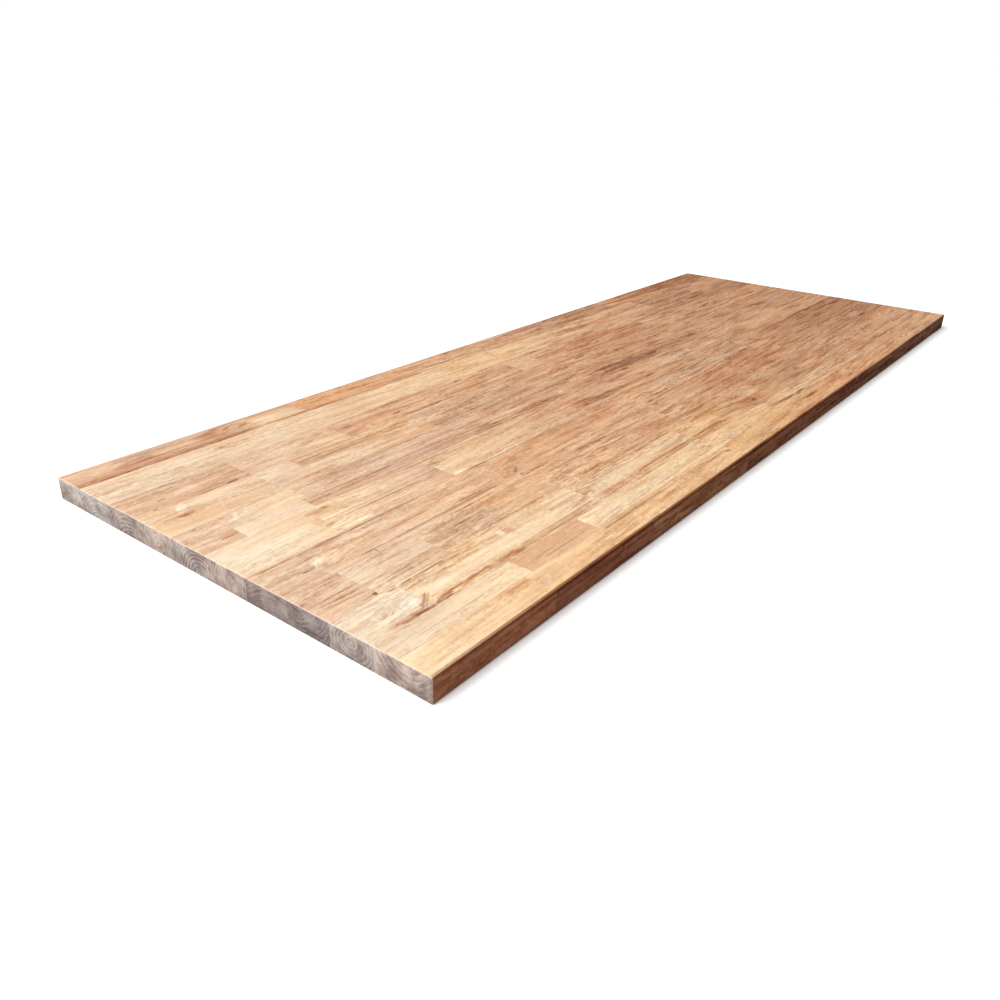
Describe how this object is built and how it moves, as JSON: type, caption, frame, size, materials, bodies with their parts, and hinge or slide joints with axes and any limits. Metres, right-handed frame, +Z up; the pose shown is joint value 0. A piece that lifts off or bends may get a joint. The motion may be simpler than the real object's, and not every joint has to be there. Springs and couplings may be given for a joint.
{
  "type": "dining table top",
  "caption": "Long rectangular solid teak table top, a flat butcher block panel of staggered staves with eased outer edges.",
  "frame": {"origin": "middle of the underside, on the surface that the top lies on", "axes": "+X along the length from the near end to the far end, +Y across the width to the left long edge, +Z up through the thickness"},
  "size_m": [2.4, 0.9, 0.042],
  "materials": {
    "teak_pale": "planed, sanded and oiled pale teak, satin",
    "teak_honey": "planed, sanded and oiled honey teak, satin",
    "teak_tan": "planed, sanded and oiled tan teak, satin",
    "teak_orange": "planed, sanded and oiled orange-brown teak, satin",
    "teak_brown": "planed, sanded and oiled brown streaked teak, satin",
    "teak_grey_brown": "planed, sanded and oiled grey-brown teak, satin",
    "teak_dark": "planed, sanded and oiled dark teak heartwood, satin"
  },
  "bodies": {
    "root": {"row01_stave1": "teak_brown", "row01_stave2": "teak_pale", "row01_stave3": "teak_orange", "row01_stave4": "teak_tan", "row01_stave5": "teak_dark", "row02_stave1": "teak_pale", "row02_stave2": "teak_honey", "row02_stave3": "teak_tan", "row03_stave1": "teak_brown", "row03_stave2": "teak_pale", "row03_stave3": "teak_brown", "row03_stave4": "teak_pale", "row03_stave5": "teak_orange", "row03_stave6": "teak_tan", "row04_stave1": "teak_honey", "row04_stave2_left1": "teak_pale", "row04_stave2_left2": "teak_dark", "row04_stave2_right1": "teak_pale", "row04_stave3": "teak_tan", "row04_stave4": "teak_orange", "row04_stave5": "teak_tan", "row05_stave1": "teak_brown", "row05_stave2_left1": "teak_pale", "row05_stave2_left2": "teak_tan", "row05_stave2_right1": "teak_pale", "row05_stave2_right2": "teak_brown", "row05_stave3": "teak_brown", "row05_stave4": "teak_dark", "row05_stave5": "teak_tan", "row06_stave1": "teak_pale", "row06_stave2": "teak_tan", "row06_stave3": "teak_pale", "row06_stave4": "teak_tan", "row06_stave5": "teak_honey", "row07_stave1": "teak_brown", "row07_stave2": "teak_tan", "row07_stave3": "teak_orange", "row07_stave4": "teak_tan", "row07_stave5": "teak_brown", "row08_stave1": "teak_grey_brown", "row08_stave2": "teak_tan", "row08_stave3": "teak_dark", "row08_stave4": "teak_orange", "row08_stave5": "teak_tan", "row08_stave6": "teak_orange", "row09_stave1": "teak_pale", "row09_stave2": "teak_pale", "row09_stave3": "teak_honey", "row09_stave4": "teak_tan", "row09_stave5": "teak_tan", "row10_stave1": "teak_pale", "row10_stave2": "teak_tan", "row10_stave3": "teak_pale", "row10_stave4": "teak_honey", "row10_stave5": "teak_honey", "row11_stave1": "teak_honey", "row11_stave2": "teak_pale", "row11_stave3": "teak_pale", "row11_stave4": "teak_honey", "row11_stave5": "teak_orange"}
  },
  "joints": []
}
